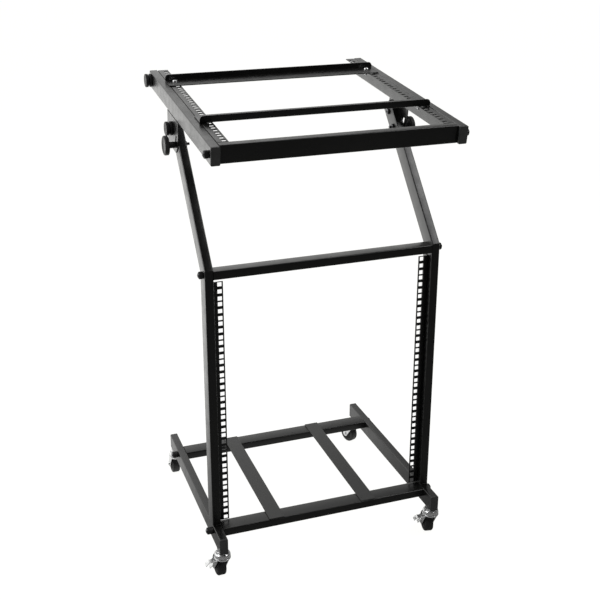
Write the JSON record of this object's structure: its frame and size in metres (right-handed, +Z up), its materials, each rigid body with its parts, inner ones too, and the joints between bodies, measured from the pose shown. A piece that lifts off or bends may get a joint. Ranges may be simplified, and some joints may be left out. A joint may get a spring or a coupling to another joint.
{
  "type": "studio rack stand",
  "caption": "Rolling studio rack stand of black box tube: an upright 19-inch rack between bent posts on a caster base, with a tilting rack table on top clamped by hand knobs.",
  "frame": {"origin": "on the floor under the middle of the footprint's box", "axes": "+X to the right, +Y to the back, +Z up; the rack faces -Y"},
  "size_m": [0.5921, 0.5492, 1.0774],
  "materials": {
    "black_paint": "satin black powder coat, fine orange-peel texture",
    "black_plastic": "moulded black plastic, slightly soft edges",
    "grey_plastic": "dark grey moulded end caps",
    "zinc_steel": "bright zinc plate",
    "wheel_rubber": "dull black caster tread"
  },
  "bodies": {
    "stand": {"left_base_rail": "black_paint", "left_post": "black_paint", "left_arm": "black_paint", "left_arm_cap": "black_plastic", "left_rack_rail": "black_paint", "left_pivot_bolt": "zinc_steel", "left_lock_bolt": "zinc_steel", "left_strap": "black_paint", "right_base_rail": "black_paint", "right_post": "black_paint", "right_arm": "black_paint", "right_arm_cap": "black_plastic", "right_rack_rail": "black_paint", "right_pivot_bolt": "zinc_steel", "right_lock_bolt": "zinc_steel", "right_strap": "black_paint", "base_front_beam": "black_paint", "base_rear_beam": "black_paint", "upper_beam": "black_paint", "base_front_left_cap": "grey_plastic", "base_rear_left_cap": "grey_plastic", "base_front_right_cap": "grey_plastic", "base_rear_right_cap": "grey_plastic", "front_left_caster_stem": "zinc_steel", "front_right_caster_stem": "zinc_steel", "rear_left_caster_stem": "zinc_steel", "rear_right_caster_stem": "zinc_steel"},
    "table": {"table_left_tube": "black_paint", "table_left_rail": "black_paint", "left_tilt_bracket": "black_paint", "table_right_tube": "black_paint", "table_right_rail": "black_paint", "right_tilt_bracket": "black_paint", "table_front_tube": "black_paint", "middle_angle_bar": "black_paint", "rear_angle_bar": "black_paint", "table_front_left_cap": "grey_plastic", "table_rear_left_cap": "grey_plastic", "table_front_right_cap": "grey_plastic", "table_rear_right_cap": "grey_plastic"},
    "front_left_caster": {"front_left_fork": "zinc_steel", "front_left_axle": "zinc_steel"},
    "front_left_wheel": {"front_left_wheel": "wheel_rubber"},
    "front_left_brake": {"front_left_brake_lever": "zinc_steel"},
    "front_right_caster": {"front_right_fork": "zinc_steel", "front_right_axle": "zinc_steel"},
    "front_right_wheel": {"front_right_wheel": "wheel_rubber"},
    "front_right_brake": {"front_right_brake_lever": "zinc_steel"},
    "rear_left_caster": {"rear_left_fork": "zinc_steel", "rear_left_axle": "zinc_steel"},
    "rear_left_wheel": {"rear_left_wheel": "wheel_rubber"},
    "rear_right_caster": {"rear_right_fork": "zinc_steel", "rear_right_axle": "zinc_steel"},
    "rear_right_wheel": {"rear_right_wheel": "wheel_rubber"},
    "left_pivot_knob": {"left_pivot_knob": "black_plastic"},
    "left_lock_knob": {"left_lock_knob": "black_plastic"},
    "right_pivot_knob": {"right_pivot_knob": "black_plastic"},
    "right_lock_knob": {"right_lock_knob": "black_plastic"},
    "left_rear_knob": {"left_rear_knob": "black_plastic"}
  },
  "joints": [
    {"name": "table_tilt", "type": "hinge", "parent": "stand", "child": "table", "pos_m": [0, 0.05396, 0.97788], "axis": [1, 0, 0], "range_deg": [-7.4, 42.6]},
    {"name": "front_left_swivel", "type": "hinge", "parent": "stand", "child": "front_left_caster", "pos_m": [-0.258, -0.22511, 0.067], "axis": [0, 0, 1], "continuous": true},
    {"name": "front_left_wheel_spin", "type": "hinge", "parent": "front_left_caster", "child": "front_left_wheel", "pos_m": [-0.25884, -0.20113, 0.02469], "axis": [0.9994, 0.0349, 0], "continuous": true},
    {"name": "front_left_brake_press", "type": "hinge", "parent": "front_left_caster", "child": "front_left_brake", "pos_m": [-0.2778, -0.2168, 0.046], "axis": [0.0349, -0.9994, 0], "range_deg": [0, 20]},
    {"name": "front_right_swivel", "type": "hinge", "parent": "stand", "child": "front_right_caster", "pos_m": [0.258, -0.22511, 0.067], "axis": [0, 0, 1], "continuous": true},
    {"name": "front_right_wheel_spin", "type": "hinge", "parent": "front_right_caster", "child": "front_right_wheel", "pos_m": [0.26258, -0.20155, 0.02469], "axis": [0.9816, -0.1908, 0], "continuous": true},
    {"name": "front_right_brake_press", "type": "hinge", "parent": "front_right_caster", "child": "front_right_brake", "pos_m": [0.24058, -0.21256, 0.046], "axis": [-0.1908, -0.9816, 0], "range_deg": [0, 20]},
    {"name": "rear_left_swivel", "type": "hinge", "parent": "stand", "child": "rear_left_caster", "pos_m": [-0.258, 0.22589, 0.067], "axis": [0, 0, 1], "continuous": true},
    {"name": "rear_left_wheel_spin", "type": "hinge", "parent": "rear_left_caster", "child": "rear_left_wheel", "pos_m": [-0.258, 0.24989, 0.02469], "axis": [1, 0, 0], "continuous": true},
    {"name": "rear_right_swivel", "type": "hinge", "parent": "stand", "child": "rear_right_caster", "pos_m": [0.258, 0.22589, 0.067], "axis": [0, 0, 1], "continuous": true},
    {"name": "rear_right_wheel_spin", "type": "hinge", "parent": "rear_right_caster", "child": "rear_right_wheel", "pos_m": [0.25058, 0.24871, 0.02469], "axis": [0.9511, 0.309, 0], "continuous": true},
    {"name": "left_pivot_knob_turn", "type": "hinge", "parent": "stand", "child": "left_pivot_knob", "pos_m": [-0.282, 0.05396, 0.97788], "axis": [-1, 0, 0], "range_deg": [0, 540]},
    {"name": "left_lock_knob_turn", "type": "hinge", "parent": "stand", "child": "left_lock_knob", "pos_m": [-0.282, 0.02728, 0.94675], "axis": [-1, 0, 0], "range_deg": [0, 540]},
    {"name": "right_pivot_knob_turn", "type": "hinge", "parent": "stand", "child": "right_pivot_knob", "pos_m": [0.282, 0.05396, 0.97788], "axis": [1, 0, 0], "range_deg": [0, 540]},
    {"name": "right_lock_knob_turn", "type": "hinge", "parent": "stand", "child": "right_lock_knob", "pos_m": [0.282, 0.02728, 0.94675], "axis": [1, 0, 0], "range_deg": [0, 540]},
    {"name": "left_rear_knob_turn", "type": "hinge", "parent": "table", "child": "left_rear_knob", "pos_m": [-0.282, 0.25246, 1.05358], "axis": [-1, 0, 0], "range_deg": [0, 540]}
  ]
}
